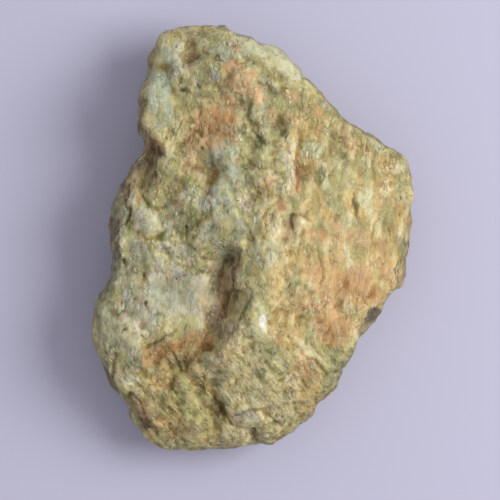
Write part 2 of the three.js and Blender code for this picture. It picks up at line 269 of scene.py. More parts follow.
# Cracks, seams and the sharp feet of the ledges: depth, half width, and the line in plan.
CRACKS = [
    # the wall of the hollow
    (0.45, 0.4, [(-2.4, -2.2), (-2.7, -3.6), (-3.4, -7), (-3.7, -8.8), (-4.7, -11.3), (-5.3, -13.7)]),
    (0.3, 0.3, [(-5.3, -13.7), (-6.3, -16.3), (-6.6, -19.2)]),
    (0.25, 0.35, [(-0.4, -10.8), (-1.8, -14.8), (-3.2, -17.5), (-4.3, -19)]),
    # the ledge, and the valley between the foot and the right bulge
    (0.5, 0.35, [(-21.6, -22.2), (-18.2, -20.4), (-16.2, -19.2)]),
    (0.7, 0.35, [(-15.8, -22.8), (-14.6, -24.9), (-13.9, -26.8)]),
    (0.4, 0.3, [(-16.5, -29), (-15, -31)]),
    (0.4, 0.5, [(-7.4, -29.9), (-6.3, -32.6), (-4.9, -34.7), (-3.6, -36.4)]),
    # the right bulge and its foot
    (0.4, 0.35, [(10, -22), (13, -25.2), (15, -27.2)]),
    (0.4, 0.3, [(11.4, -31), (13, -33.4)]),
    (0.5, 0.4, [(-3.4, -35), (-0.6, -34.4), (1.8, -34.2), (3.5, -35.5), (6, -37.4)]),
    (0.7, 0.45, [(0.2, -38.3), (0.3, -40.2), (1.5, -41.5)]),
    # the top end and the rusty hump
    (0.25, 0.25, [(-13.4, 40), (-13.2, 36.5), (-13.8, 31)]),
    (0.3, 0.3, [(-10.5, 25), (-10.7, 23.2), (-10.9, 21.6), (-10.3, 20.4)]),
    (0.15, 0.3, [(-4.4, 26.2), (-4, 23.6)]),
    (0.3, 0.4, [(-9.3, 19), (-8.5, 16.8), (-7.6, 15)]),
    # the middle
    (0.4, 0.4, [(3, 30.2), (4.6, 28.6)]),
    (0.4, 0.4, [(-0.6, 27), (-0.9, 24), (0.2, 21.5), (1.4, 19.3)]),
    (0.3, 0.5, [(5.6, 24.4), (6.1, 22.5), (5.5, 20.8)]),
    (0.3, 0.3, [(9.2, 22), (9.0, 16), (9.2, 9.5)]),
    (0.25, 0.35, [(5.2, 8), (3.4, 6.4), (2.6, 4), (2.7, 1.6)]),
    (0.7, 0.4, [(7.7, 2.2), (7.9, 3.4), (8.3, 4.4)]),
    # the right side
    (0.3, 0.3, [(17, 20.5), (21.5, 18.5)]),
    (0.3, 0.3, [(18.9, 15.7), (15, 12.5)]),
    (0.35, 0.3, [(20.4, 9.2), (20.6, 4.6)]),
    (0.3, 0.3, [(12.6, -2), (14, -6.4), (13.4, -9)]),
    # the lobes down the left side, and the lower left corner
    (0.3, 0.3, [(-18.9, 17.2), (-19.5, 13)]),
    (0.5, 0.35, [(-24.7, 11.4), (-25.3, 6.3), (-24, 5), (-25.2, 3)]),
    (0.5, 0.3, [(-22, 8.4), (-20.4, 6.6), (-19.6, 6.1), (-17.4, 6.3)]),
    (0.3, 0.4, [(-22.6, 1.4), (-20.6, 0.2), (-18.6, 0.2), (-17.2, 2)]),
    (0.5, 0.4, [(-27.3, -23), (-27.8, -27.5)]),
    (0.5, 0.4, [(-24.4, -31.3), (-22.4, -32.6), (-21.4, -35.2), (-20.4, -37.6), (-19, -39)]),
    # black pinholes
    (0.5, 0.5, [(-10.8, 30.5), (-10.5, 30.3)]),
    (0.4, 0.4, [(-13.7, 29.4), (-13.4, 29.2)]),
    (0.5, 0.4, [(-25.3, -4.2), (-25.2, -4.4)]),
    (0.5, 0.4, [(-21.8, -7.2), (-21.7, -7.8)]),
    (0.4, 0.35, [(-21, -12.8), (-20.9, -14.2)]),
    (0.4, 0.35, [(-25.1, -17.7), (-25.8, -19.0)]),
]
CRACK_WANDER = 0.55
wobble = places + CRACK_WANDER * wander
crevice = np.zeros(len(places))
for depth, half_width, line in CRACKS:
    cut = np.exp(-((beside(wobble, line) / half_width) ** 2)) * upper
    height -= depth * cut
    crevice = np.maximum(crevice, cut * min(1, depth))

# Crests and knobs that were left standing, and soft troughs, which have a minus: height, half
# width, and the line in plan.
CRESTS = [
    # the hollow: the ridge beside it, its wall, its floor, and the knob above it
    (0.5, 0.8, [
        (-2, -1.8), (-1.7, -3.9), (-2.6, -7.1), (-2.6, -9.4), (-0.1, -10.8), (-0.1, -13.1), (-3.1, -18.1),
    ]),
    (-0.3, 1.5, [(-4.6, -5), (-5, -10), (-6.2, -15)]),
    (0.5, 1.4, [(-5.4, -2.8), (-6, -5.6)]),
    (0.5, 1.2, [(-6.4, -9), (-7, -13)]),
    (0.7, 2.4, [(-11, -8), (-11.4, -19)]),
    (0.6, 2.2, [(-20, -4), (-20.2, -12)]),
    (0.9, 1.9, [(-3.2, 6.5), (-3.1, -0.6)]),
    # the ledge
    (0.3, 0.8, [(-17.4, -21.3), (-15.4, -20.6)]),
    (0.8, 1.6, [(-11.6, -20.8), (-8.6, -19.8)]),
    (1.0, 1.3, [(-8.8, -23.6), (-7.8, -24.4)]),
    (0.8, 1.6, [(-11.4, -23), (-11, -25.6)]),
    # the foot, and the valley beside it
    (1.3, 1.3, [(-10.6, -26.4), (-9, -29), (-8.6, -30.8)]),
    (0.9, 1.0, [(-9, -25.6), (-8.4, -29)]),
    (1.4, 3.3, [(-11, -31), (-10.4, -37)]),
    (0.8, 2.0, [(-8.4, -30), (-8, -35)]),
    (0.6, 1.4, [(-5.6, -36.4), (-5, -38.6)]),
    # the edge of the right bulge
    (0.5, 0.8, [(-8.1, -26.2), (-5.6, -28.9), (-4, -31.5), (-4.4, -33.1), (-3.3, -35)]),
    (0.9, 2.6, [(-5, -21.5), (-6, -29)]),
    (0.8, 2.4, [(-4.6, -33), (-5.4, -38)]),
    (0.7, 1.6, [(-1.6, -34), (-1.4, -38)]),
    # the loose crumb and its foot, and the glossy white spot that carries a painted highlight
    (1.5, 0.8, [(8.9, 2.6), (9.3, 3)]),
    (0.6, 0.45, [(9.7, 3.2), (9.2, 3.4)]),
    (0.2, 0.8, [(2, -16.2), (2.1, -16.8)]),
    # the middle
    (-0.4, 1.6, [(3.6, 25.4), (5.4, 23.2)]),
    (0.4, 0.7, [(7.6, 18), (7.3, 14), (7, 10)]),
    (0.5, 1.5, [(2.4, 17), (2.2, 12)]),
    (0.5, 1.4, [(2.4, 7), (2.2, 2)]),
    (0.4, 0.7, [(5.4, 4.2), (4.8, 1.6)]),
    (0.3, 0.8, [(-5.6, 17), (-5.2, 13)]),
    (0.3, 0.7, [(-12, 1.6), (-8, 3.4)]),
    # the right side
    (0.4, 1.6, [(19.4, 22), (19.2, 8)]),
    (0.35, 0.8, [(16.4, 15.6), (18.2, 14.2)]),
    (0.3, 0.5, [(21.4, 9.6), (21.2, 5.2)]),
    # the top end, and the lobes down the left side
    (0.6, 1.6, [(-15.2, 31), (-15, 37.5)]),
    (0.4, 0.8, [(-23.6, 6.4), (-23, 9.6)]),
    (1.0, 1.7, [(-20.8, 4), (-19.8, 2.6)]),
]
for rise, half_width, line in CRESTS:
    height += rise * np.exp(-((beside(wobble, line) / half_width) ** 2)) * upper

# Small pits and grit stand all over it, with more grit where it is crinkled.
PIT_SPACING = 1.3
PIT_DEPTH = 0.35
GRIT_SPACING = 1.0
GRIT_HEIGHT = 0.2
pits = ease_between(lumps(places, PIT_SPACING, 31), 0.78, 1.05)
height -= PIT_DEPTH * pits
grit = ease_between(lumps(places, GRIT_SPACING, 32), 0.5, 0.9)
height += GRIT_HEIGHT * grit * (0.3 + crinkled)

# The resting face stays flat on the table, and the stone no larger than its solid.
skin = places + height[:, None] * facing
skin[:, 2] = np.maximum(skin[:, 2], 0)
skin *= np.minimum(1, np.array(cad_box[1]) / MM / np.abs(skin).max(0))
opal.data.vertices.foreach_set("co", (skin * MM).ravel())
opal.data.update()


# ------------------------------------------------------------------ dirt, wear, painted shade and painted highlight
# The hollows of the break are painted darker and the crests lighter: partly dust and clay in
# the hollows and crests rubbed clean, partly painted shade and a painted highlight. What lies
# below the surface round it is a hollow, at the scale of a grain and of a lump.
ends = np.empty(len(opal.data.edges) * 2, dtype=np.int64)
opal.data.edges.foreach_get("vertices", ends)
ends = ends.reshape(-1, 2)
neighbours = np.bincount(ends.ravel(), minlength=len(skin))[:, None]


def rubbed(shape, rounds):
    """The shape after each vertex moves halfway to the middle of its neighbours, many times."""
    for _ in range(rounds):
        total = np.zeros_like(shape)
        for axis in range(3):
            total[:, axis] = np.bincount(ends[:, 0], shape[ends[:, 1], axis], len(shape))
            total[:, axis] += np.bincount(ends[:, 1], shape[ends[:, 0], axis], len(shape))
        shape = 0.5 * shape + 0.5 * total / neighbours
    return shape


def mark(name, values):
    """Keeps one number a vertex for the finish."""
    kept = opal.data.attributes.new(name, "FLOAT", "POINT")
    kept.data.foreach_set("value", np.asarray(values, dtype=np.float32))


_, new_facing = read_mesh(opal)
grain_shape = rubbed(skin, 8)
lump_shape = rubbed(grain_shape, 60)
mark("grain_height", ((skin - grain_shape) * new_facing).sum(1))
mark("lump_height", ((grain_shape - lump_shape) * new_facing).sum(1))
# How dark the pits are painted with the crevices: partly dirt, partly painted shade.
PIT_DIRT_AND_SHADE = 0.5
SIDE_CRINKLE = 0.6
mark("crevice", np.maximum(crevice, PIT_DIRT_AND_SHADE * pits))
mark("crinkled", np.maximum(crinkled, SIDE_CRINKLE * (1 - upper)))
mark("calm", calm * (0.5 + 0.5 * streaky))
# How far the surface turns from facing up, which sets the painted shade on the steep sides.
mark("side", 1 - ease_between(facing[:, 2], 0.0, 0.65))


# ------------------------------------------------------------------ the minerals
# Milky and pale green opal, with olive clay, rust from iron that seeped in, dark green
# chlorite and red specks of iron oxide. Each grew as patches with wandering edges.
# Along the left edge, which is turned from the light, and round the lower left corner, some of the green,
# dark green, grey-green, olive, clay and brown patches are partly painted shade.
MINERALS = {
    # opal that iron has stained yellow: the right side, the ledge and the foot
    "ochre": [
        (21, 6, 13, 15, 0), (14, 17, 9, 8, -20), (22, -6, 9, 10, 0), (26, 0, 6, 13, 0),
        (6.8, -17, 4, 6, 0), (11, -30, 5, 6, 0), (6, -6, 4, 7, 0), (11.5, 24, 4, 3, -35),
        (-16, -31, 6, 7, 0), (-13, -36, 7, 5, 0), (-20.6, -35, 3, 5, 20), (-6, -38, 5, 3, 0),
        (-12, -22.6, 4, 2.4, 0), (-9.6, -15, 2, 5, -8), (-10, -20, 2.4, 2, 0), (-6, -27, 4, 5, 0),
        (-3, -36, 4, 4, 0), (-14, -24.6, 4, 3, 0), (3.8, 5, 2.2, 4, 0), (-10, -24.4, 3, 2, 0),
        (17, -19, 3, 5, 0),
    ],
    # dull green opal, in patches all over; on the left edge and at the lower left corner it is partly
    # painted shade
    "green": [
        (0, 18, 6, 4, 0), (2, 23, 3.8, 5, 0), (-2, 24, 2.2, 4, 0), (-8, 36, 3, 5, 0),
        (-11, 28, 4, 2, 0), (1.5, -6, 3, 5, 0), (2, -13, 2, 2.8, 0), (-13, -33, 2.4, 4, 0),
        (8, -9.5, 2, 2, 0), (-14, -14, 1, 2.6, -25), (-17, -14, 1, 2, -25), (-25, -9, 1.4, 1.6, 0),
        (-12, -6, 1.6, 3, -25), (-19, -2, 2, 1.4, 0), (20.3, -2, 1.2, 3, 8), (12, -19, 2, 2, 0),
        (4.5, -22.5, 2, 1.6, 0), (-17.5, 11, 3, 2.8, 0), (-1, 3, 3, 3, 0), (-25, 2, 1.6, 5, 0),
        (15, -29, 2, 3, -30), (27, 18, 3, 1.6, -30), (-12, 6, 6, 5, 0), (-14, -2, 5, 2, 0),
        (13, 18, 4, 2, -20), (18, 12, 2, 3.4, 0), (23.5, 14, 2, 3, 0), (27, 4, 2, 3, 0),
        (-28.6, -8, 2, 5, 10), (-28.6, -20, 2, 6, 0), (-22.6, -12, 1.6, 3, 0), (4.6, 26.4, 3.4, 4, 0),
        (-9.6, 31, 2, 3, 0), (-18.3, 8.6, 2, 2.6, 0), (-0.7, 13, 1.8, 2.8, 0), (18, 20, 3, 2, -30),
        (16.6, 20.4, 3, 1.8, -25), (17.4, 16.4, 1.6, 2.4, 0), (15.6, 9.6, 2, 3, 0),
        (17.4, 6.8, 1.2, 3.4, 0), (15, 0, 3, 3, 0), (-19.6, 8, 2.6, 3, 0), (-18.6, 12.4, 1.6, 2, 0),
        (16.6, -23.6, 2.6, 3, 0), (8.6, 27, 2, 3, -35), (-9.4, 35, 1.8, 4, 0), (30.2, 11, 1.4, 4, 0),
        (26, -6.6, 2, 2, 0), (16.9, 24, 2, 1.2, -30), (17.4, 13, 2.4, 3.4, 0), (21.6, 15.4, 2, 2, 0),
        (-18.8, 10.4, 2.2, 2.6, 0), (13, 3, 1.6, 2, 0), (20.6, 2, 2, 2, 0), (-9.6, 34, 2, 4, 0),
        (-5.2, -1.6, 2.6, 2.2, 0), (-0.6, -6, 1.4, 3, 0), (-0.8, 15.6, 1.6, 1.6, 0),
        (-27, -24, 2, 2.4, 30), (29.8, -5, 1.4, 3, 0), (-18.6, 3.4, 2, 1.6, 0),
        (-15.6, 22.8, 1.6, 2.8, 0),
    ],
    # milky opal: the floor of the hollow, and small white lobes
    "milky": [
        (-14, -11, 8, 6, 0), (-22, -14, 4, 6, 0), (-19.4, -9.6, 3, 3.4, -20),
        (-30.4, -14.8, 0.9, 1.1, 0), (-21.8, 4.4, 1.6, 2.2, 0), (-24, 7.6, 1, 2, 0),
        (-7.1, 7.7, 1.6, 2.4, 0), (-4.2, 12.8, 1.6, 2.4, 0), (7.4, 14, 1.2, 5.4, 3),
        (3.9, -3.5, 0.8, 3.4, 5), (0.4, -3, 1.3, 1.5, 0), (-24.5, -28, 1.8, 1.4, 0),
        (-15.5, 36.5, 1.6, 3, 0), (-10.5, 12.5, 1.2, 1, 0), (17, 14.8, 2.2, 1.2, 35),
        (-4.2, 3.6, 1.4, 1.2, 0), (1.3, 3.9, 0.8, 0.8, 0), (-3.4, -0.4, 1, 0.7, 0),
        (6.5, 35.6, 5, 2, -38), (-6.8, 17.2, 1.3, 1.8, 0), (-21.2, -7.5, 1, 1, 0),
        (-1, -35, 2.8, 1.2, 0), (-22.7, -0.9, 0.9, 1, 0), (-25.8, -0.6, 0.8, 0.8, 0),
        (-18.6, -6, 1.8, 2.4, 0), (-13.6, -2.6, 2, 1.2, 0), (-18.2, -11, 2.2, 2.6, 0),
        (-17.6, -1.6, 1.8, 1.4, 0), (-18.4, -8, 2.2, 5, 0), (-22, 4.8, 1.2, 2, 0),
        (-20.4, 3.4, 2, 3, 20), (-9.4, 7.4, 1.4, 2, 0), (-15.4, 35.5, 2, 4.4, 0),
        (-12.6, 8.8, 1.6, 1.6, 0), (-8.4, 1.4, 1.6, 1.6, 0), (-13, -8.4, 2.4, 1.6, 0),
        (2, 37.6, 2.6, 1.2, -20), (-3.4, 39, 1.6, 1, 0), (-7, 16.6, 1.6, 2, 0),
        (-7.9, 7.9, 1.4, 1.6, 0), (-22.4, -2.4, 1.8, 2.2, 0), (-0.8, 6.8, 1.6, 1.8, 0),
    ],
    # bluish green opal, in the middle and down the left side
    "aqua": [
        (-18, 28, 3, 6, 12), (-5.5, 17, 3, 2, 0), (-4, 12, 2.6, 3.4, 0), (-27, -3.6, 1.6, 3, 0),
        (-30, -14, 1.6, 3, 0), (-8, 7, 2.4, 2.8, 0), (0.4, -3, 1.8, 2, 0), (-17, -11, 5, 3, 0),
        (-20.3, -16, 1.4, 0.9, 0), (0, 38, 4.4, 2.4, -15), (-6, 36.6, 2.4, 3, 0), (-5, 3, 3, 5, 0),
        (-5, 10, 3, 3, 0), (-8, 7.8, 2.4, 2.4, 0), (-6.9, 16.4, 2, 2.6, 0),
    ],
    # clean blue-green opal: one smooth facet at the upper left, and the strip above it
    "mint": [
        (-18.2, 27.6, 2.8, 6.2, 12), (-16.4, 35, 2, 4, 5),
    ],
    # pale yellow-green opal: the facet at the upper right, and streaks
    "pale_green": [
        (5.4, 36.2, 6.4, 3, -38), (1, 38.6, 4.4, 1.8, -20), (3.6, -2, 1.2, 3, 0), (19, -4, 1, 3.4, 8),
        (14.4, 13, 1.4, 3, 0), (22.8, 8, 1.8, 3, 0), (16.2, 7.6, 1.2, 2.4, 0), (11.6, 17.6, 2, 1.4, 0),
        (-18, -3, 1.4, 1.4, 0), (-12.4, -3, 1.6, 1.4, 0), (-18.8, 2.8, 1.2, 2, 0),
        (1.2, -15.2, 1.4, 2, 0), (-11.5, 9, 1, 2.6, 0), (24.6, 19, 3, 1.2, -30), (18.8, 3.4, 1, 2, 0),
        (1.2, -17, 1.6, 2.4, 0), (-6.6, -27.4, 1.6, 1.8, 0), (-8.2, -24, 1.8, 1.4, 0),
    ],
    # chlorite, in small patches and low ground; round the lower left corner it is partly painted shade
    "dark_green": [
        (13.2, 12.4, 1.8, 1.4, 0), (16.7, 3.9, 0.9, 0.9, 0), (17, -25, 2.2, 2.6, 0),
        (-21.6, -4.8, 1.5, 1.2, 20), (-23.6, -5.6, 1, 0.6, 0), (-29.7, -11.8, 1, 0.8, 0),
        (-31, -16.4, 0.8, 1.2, 0), (-25.6, -14.4, 0.9, 0.6, 0), (-18.6, -14.8, 0.9, 0.6, 0),
        (-14.4, -18.2, 1.5, 0.8, 20), (1.5, -26.2, 1.8, 0.9, 40), (3.4, -22.6, 1, 0.8, 0),
        (-14.2, 0.4, 0.8, 1.6, 0), (-11.4, 4.4, 1.2, 2, 0), (-15.2, 10.4, 1.6, 1.8, 0),
        (-24.6, 3.8, 1.1, 2.4, 0), (-5.6, 1.2, 3, 0.9, 0), (-2.8, 0.2, 1.6, 0.8, -40),
        (1.5, 18.8, 1.4, 1.6, 0), (-0.4, 14.3, 1.6, 0.8, 0), (-27, -22.5, 1.6, 3, 10),
        (-7.6, 34, 2, 3, 0), (20.6, 6.8, 0.5, 2.6, 0), (11, -20, 1, 1, 0), (-1.6, 21, 0.8, 2.6, 10),
        (-9.6, 28.8, 1.6, 0.8, 0), (-26, -12.6, 1, 1, 0), (-15.1, -7.9, 1.1, 0.4, 0),
        (-4.6, 3, 1.6, 1.2, 0), (-5, -1, 1.6, 1, 0), (-9.6, 36, 1.4, 2.4, 0), (-5, -2.4, 2, 1.4, 0),
        (-9.6, -6.2, 2, 1, 0), (-0.8, -5, 1.2, 2.6, 0), (-22.8, -11.4, 1.2, 2.6, 0),
        (-17.2, 2, 1.6, 2.6, 0), (-16, 7, 1.8, 1.6, 0), (-13.4, 2.4, 2, 1.6, 0),
        (-27.6, -24.4, 2, 2.8, 30), (-18.4, 11, 1.6, 1.4, 0), (5.2, 23.2, 0.9, 1.8, 10),
        (20.4, -24, 2.4, 2.4, 0), (-24, -24, 2, 2, 30), (-5.4, 2.2, 2.4, 1.8, 0),
        (-13.6, 11, 2.2, 1.6, 0), (-9.4, 33, 1.8, 2.2, 0), (-5.6, -32.6, 1, 2.6, -25),
        (-18.4, -33, 1.2, 2.2, 0), (17, 24.4, 2, 1, -30),
    ],
    # opal that iron has stained orange: the rusty hump, and the middle of the right side
    "peach": [
        (-8.3, 22.8, 5.2, 4.8, 0), (-3.6, 34.4, 2.2, 2, 0), (-1.7, 31.6, 2.6, 2.8, 30),
        (0.8, 29, 1.8, 2.2, 0), (15, -14, 3, 8, -8), (19.4, -9.4, 3.8, 4.4, 0),
        (10.4, -25.4, 1.8, 2.8, 0), (22.5, -11, 3.2, 2.8, 0), (17.6, -18, 2.8, 3.4, 0),
        (12, -5, 2.4, 5, 0), (20, 19, 5, 1.8, -25), (9.2, 12.5, 0.7, 4.6, 0), (5.3, 6.4, 1.6, 1.4, 0),
        (-11.8, 14.6, 1.8, 1.2, 0), (12.6, 0.6, 2.6, 2.6, 0), (-22.6, 7.8, 0.6, 1.2, 0),
        (5.4, 6.4, 1.8, 1.4, 0), (-5, 20.2, 2.2, 1.8, 0), (-9.6, 19.6, 2.6, 2, 0),
        (8, 28.4, 1.6, 1.6, -35), (3.6, 11, 1.6, 1.8, 0), (10, -12, 3, 2.4, 0), (16.6, -18, 2.4, 3, 0),
        (-12.6, 19.4, 1.6, 2.2, 0),
    ],
    # grey-brown clay, mostly on the wall of the hollow; at the lower left corner it is partly painted
    # shade
    "clay": [
        (-6.2, -10, 1.8, 8.5, 6), (-5.2, -14, 2, 8, 8), (-6.8, -17.6, 1.8, 3.4, 20),
        (-3.4, -6, 1.6, 5, 0), (-12, 35, 0.8, 5, 0), (-23.4, 12, 1.2, 2, 0), (-27, -24.6, 1.8, 2.6, 30),
        (-21.8, -11.8, 0.9, 2.2, 0), (-21.6, -17.4, 1.2, 0.8, 0), (-22, -16.3, 0.6, 1.1, 0),
        (-18.6, -20, 2, 1, 20), (-5.4, 29, 2, 1.6, 0),
    ],
    # rust, on the ledge, the hump and the right edge
    "rust": [
        (-4.4, 27, 2.6, 1.8, -35), (-3, 38.4, 1, 1.1, 0), (-19.6, -23.4, 3.2, 1.8, 35),
        (-15, -21, 3.6, 1.6, 5), (-11, -20.3, 3, 1.9, 0), (13.6, 24.6, 1.5, 0.9, -20),
        (-20, 18.4, 2, 1.6, 0), (17.5, -9, 1.4, 2.2, -20), (6.6, 24.5, 1.2, 1.2, 0),
        (-10, 25.6, 2.4, 0.9, 20), (-4, 23, 1.2, 2, 0), (14.4, -16, 1.2, 2.4, 0), (-7.4, 23, 4, 3.6, 0),
        (-9.2, -20, 2.2, 2, 0), (26, -6.4, 1.5, 2.2, 0), (30, -4.6, 1, 3, 0),
    ],
    # a dark brown iron crust, in the notch at the waist and along the edges; along the lower left edge it
    # is partly painted shade
    "brown": [
        (-20.6, 14.6, 2, 5.4, -10), (-22.4, -35.4, 1, 3.6, 30), (30.6, -3, 2, 3.6, 0),
        (30.2, -7, 1.8, 2.4, 0), (24.2, -15.6, 1.7, 2.2, -30), (-27.6, 1, 1.1, 4.4, 8),
        (-28.6, -28, 1.2, 4, 30), (-22, 24.5, 0.9, 4, 0), (-3.6, -8, 0.8, 5, 7),
        (-25.4, 9.6, 0.9, 2.4, 10), (6, 21.6, 0.8, 1, 0),
    ],
    # specks of red iron oxide
    "red": [
        (-19.2, -5.7, 0.5, 0.5, 0), (-8.3, -5.8, 0.5, 0.5, 0), (-9.9, -32.2, 0.4, 0.7, 0),
        (-18, -28.4, 0.4, 0.4, 0), (-15.3, 3.6, 0.4, 0.8, 0), (-13.8, 7, 0.6, 1.2, 30),
        (-21, 9.2, 0.9, 0.5, 0), (2.3, 12.3, 0.5, 0.7, 0), (-2.6, 15.2, 0.5, 0.5, 0),
        (21.4, 1.6, 1.6, 0.5, 0), (3, -35.2, 0.5, 0.4, 0), (17.7, -19.8, 0.4, 0.3, 0),
        (-3.6, 24.6, 0.5, 1.5, -15), (9.3, 12, 0.4, 2, 0), (20.4, -7.4, 1, 0.5, 0),
        (-17, -39.8, 0.7, 0.5, 0), (-3, 35.1, 1, 0.4, -25), (12.8, -6, 0.35, 1.2, 0),
        (-22.6, 7.4, 0.5, 0.5, 0), (2.7, 4, 0.3, 2, 0), (28.4, -9.2, 0.5, 0.5, 0),
        (5.4, 6.4, 0.9, 0.6, 0),
    ],
    # cream opal: the crumb, a streak in the hollow, and small patches
    "cream": [
        (9.2, 2.9, 1.3, 1.2, 0), (5, 2.4, 1.8, 2.4, 0), (4.8, 13, 0.8, 0.8, 0), (26.4, 10, 1.6, 1.8, 0),
        (28.6, 14, 1.6, 1.2, 0), (19, -13, 1, 2, 0), (-12.8, -3.6, 1.2, 0.8, 0),
        (-9.2, -13, 1.4, 5.4, -6), (8.2, -28.4, 1.8, 1.6, 0), (-9.4, -32.6, 1.5, 1.8, 0),
        (8, 15.4, 1.4, 2, 0), (8.2, 2, 1.2, 1.6, 0),
    ],
    # the one glossy white spot, whose near-white colour is a painted highlight
    "glossy_spot_and_highlight": [
        (2.1, -16.5, 0.95, 1.25, 15),
    ],
    # opal with a little clay in it: the bulge, and much of the middle
    "khaki": [
        (-1, -30, 7, 7, 0), (0, -22, 5, 4, 0), (-9.6, -14, 2, 7, -12), (5, 4.4, 3, 4, 0),
        (-13.9, 35, 2, 4, 0), (-18, 15.6, 1.6, 2, 0), (4, -33, 6, 4, 0), (-3, -38, 6, 3, 0),
        (4, -2, 3, 4, 0), (-4, -28, 2.6, 3, 20), (3, -24, 3, 2.4, 0), (-0.8, -20, 2.4, 2, 0),
        (-18, -4, 3, 3, 0), (-13.6, -3, 3, 2, 0), (-8.6, -8, 2, 3, 0), (-0.6, -25, 3, 3, 0),
        (-0.8, -34, 3, 3, 0), (3.6, 14, 1.6, 2, 0), (2.6, 6.4, 2.4, 2, 0), (8, 1, 2, 2.4, 0),
        (-9.6, -16, 1.8, 6, -8), (-18.4, 15.4, 2, 2, 0), (-13.9, 37, 2, 2, 0), (-5, 37.6, 3, 1.6, 0),
        (5.6, 15.4, 2.4, 2.4, 0), (-5, -36.6, 3, 2.4, 0), (-5.4, -28, 2, 2, 0), (24.6, 2.4, 2, 2, 0),
        (-13, -10, 2, 3, 0),
    ],
    # greyer opal, down the left side and in the middle; down the left side it is partly painted shade
    "grey_green": [
        (-26, -9, 3.8, 7, 5), (-27.6, -18, 3.4, 6, 0), (-24.6, -23, 3.6, 4, 30),
        (-22.4, -11.6, 2, 2.6, 0), (-5, 1, 3, 4.4, 0), (3.4, 27, 2, 5, 0), (-9.4, 35.6, 1.6, 3.6, 0),
        (30.2, -3, 1.4, 4, 0), (-22.6, -13.4, 2, 3, 0), (-26.8, -25, 2.4, 3, 30),
        (-4.8, -0.6, 2.6, 3, 0), (-5, -2.4, 3, 2, 0), (-22.6, -4, 2.6, 4, 0), (-16, 4, 3, 4, 0),
        (-0.8, -5, 1.6, 3, 0), (-26.6, 4, 2.2, 4, 0),
    ],
    # lilac-grey specks
    "lilac": [
        (-14.6, -7.5, 1.3, 0.6, 0), (-7, 32.6, 1, 1.6, 0), (-10.6, 31.3, 0.9, 0.5, 0),
        (-17, -19, 0.9, 0.35, -5), (-25, -12, 0.8, 1, 0),
    ],
    # black pinholes, whose black is partly painted shade in the holes, and the darkest crust on the right
    # edge
    "black": [
        (-25.3, -4.3, 0.4, 0.4, 0), (-21.8, -7.5, 0.35, 0.5, 0), (-20.9, -13.5, 0.3, 0.8, 0),
        (-25.5, -18.4, 0.3, 0.7, -30), (-10.7, 30.4, 0.5, 0.5, 0), (-13.6, 29.3, 0.4, 0.4, 0),
        (-15.3, 38.2, 0.4, 0.4, 0), (30.8, -2.6, 1, 2.4, 0), (30.6, -6.8, 0.9, 1.8, 0),
        (24.2, -15.4, 1, 1.8, -30),
    ],
    # olive clay, in small patches; at the lower left corner it is partly painted shade
    "olive": [
        (16.8, 15, 2, 10, 0), (21, 15.4, 1.6, 2.6, 0), (8.3, 26, 2, 3.6, -35), (30.2, -4, 1.4, 3.4, 0),
        (-18.4, 8.4, 2, 4, 0), (-5, 1.4, 2, 3.4, 0), (-0.6, -4.6, 1.6, 3, 0), (12.4, -2, 2, 2.4, 0),
        (-18.4, 24.6, 1.6, 2.4, 0), (-0.6, 15.4, 1.6, 1.6, 0), (-27, -24, 2, 2.4, 30),
        (-18.2, -19.6, 2, 1.6, 0), (-18, -33, 1.8, 3, 0), (-9, 34, 1.8, 3.6, 0), (3.6, 26, 1.4, 3, 0),
        (4, 33, 6, 1.6, -38), (17, 23.6, 3, 2, -30), (21.4, 20, 3, 1.8, -30), (-14, 25, 1.5, 3.6, 0),
        (21, 1.6, 2, 3, 0), (8.2, 7, 1.4, 2.4, 0), (12.4, 7, 1.4, 2.4, 0), (21.4, -2.4, 1.8, 2, 0),
        (-22, 11, 1.8, 2.4, 0), (8.4, -11.4, 1.6, 2, 0), (-5, 2.4, 1.6, 2, 0),
        (-0.6, -14.6, 0.9, 1.8, -20), (-27, -11, 1.4, 1.8, 0), (12.4, 2.4, 1.6, 1.4, 0),
    ],
    # tan clay, on the right side and round the rusty hump
    "tan": [
        (20, 0, 4, 2.2, 0), (26, -1.6, 2.2, 2.2, 0), (17, -3, 2, 2.4, 0), (16.8, 2, 2.2, 3, 0),
        (8, 23.4, 1, 1.8, 0), (30, -8, 1.6, 3, 0), (22, -7, 2, 2, 0), (8, 11, 1.2, 3, 0),
        (-12, 18, 2.6, 4.4, 0), (-9.8, 22.4, 2.6, 3.4, 0), (-6.4, 20.6, 3, 1.6, 0), (7, 1, 1.8, 2, 0),
        (-22.4, -34, 1.8, 3, 30), (3.8, 24, 1.6, 2, 0), (-7.4, 18.4, 3.6, 1.5, 0),
        (-6, 21, 2.6, 1.2, 0), (-13.6, 18.6, 1.4, 2, 0), (-6, -12, 1.3, 5, 6),
    ],
    # yellow-green clay on the foot
    "moss": [
        (-12, -33, 5, 4.6, 0), (-8.6, -36.4, 5, 3, 0), (-10, -29.6, 3, 3, 0), (-14, -27, 3, 2, 0),
        (-14, -16.6, 3, 2, 0),
    ],
}
SMALL = ("red", "glossy_spot_and_highlight", "cream", "lilac", "black")

# The patches are laid on the upper side and the flanks. Underneath, the same minerals lie in
# wide patches of their own, and the small ones are left out.
UNDER_WIDTH = 13
edges = drawn + 0.3 * lumps_each_way(places, 0.8, (7, 8, 9))
hidden = 1 - ease_between(places[:, 2] + 2 * wander[:, 2], 1, 4)
for number, (name, patches) in enumerate(MINERALS.items()):
    laid = inside(edges, patches) * (1 - hidden)
    uneven = 0.3 * lumps(places, 3.1, 70 + number) + 0.25 * lumps(places, 1.4, 80 + number)
    if name in SMALL:
        mark(name, laid + 0.3 * uneven)
    else:
        underneath = ease_between(lumps(edges, UNDER_WIDTH, 90 + number), 0.05, 0.5)
        mark(name, laid + underneath * hidden + uneven)


